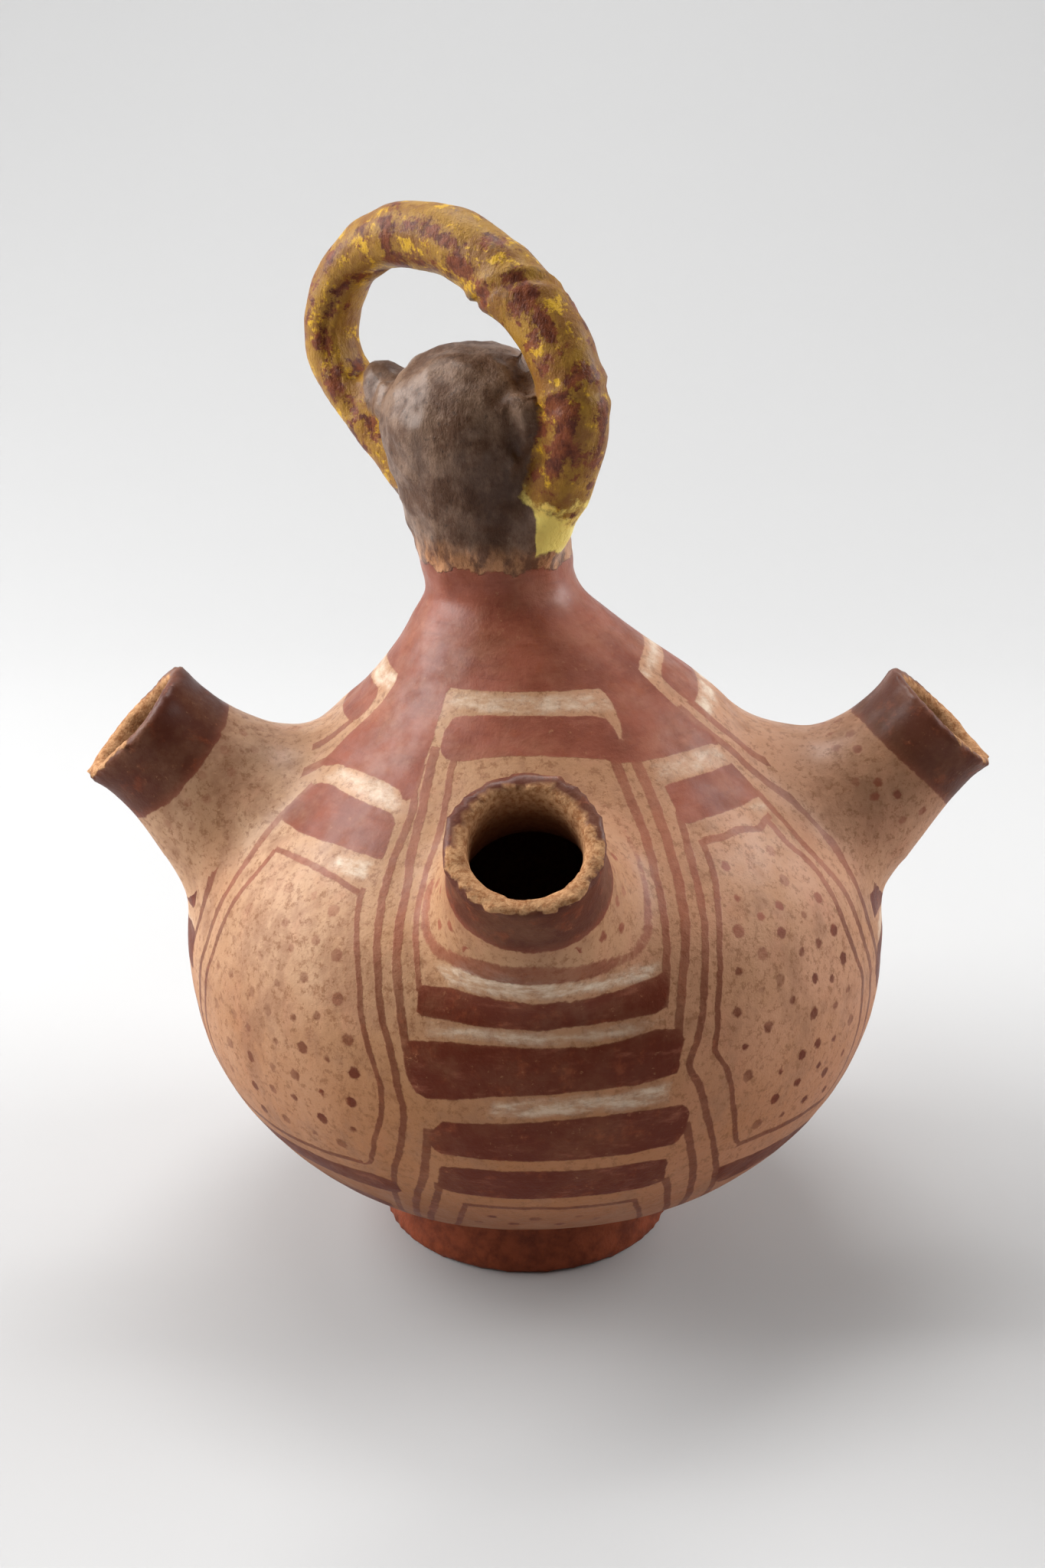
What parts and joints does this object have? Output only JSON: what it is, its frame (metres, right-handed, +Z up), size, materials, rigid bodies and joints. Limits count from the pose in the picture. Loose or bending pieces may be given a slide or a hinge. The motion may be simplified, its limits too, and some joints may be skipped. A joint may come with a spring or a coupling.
{
  "type": "effigy vessel",
  "caption": "Globular painted clay vessel on a low foot, with flared spouts round its shoulder and a leaning neck that ends in a hollow human head under a hooped strap handle.",
  "frame": {"origin": "centre of the flat underside of the foot", "axes": "+Z up, -Y along the front spout, +X along the right spout"},
  "size_m": [0.2284, 0.2156, 0.2655],
  "materials": {
    "fired_clay": "burnished slip with painted bands, worn, bare and grainy at the broken lips"
  },
  "bodies": {
    "root": {"effigy_vessel": "fired_clay"}
  },
  "joints": []
}
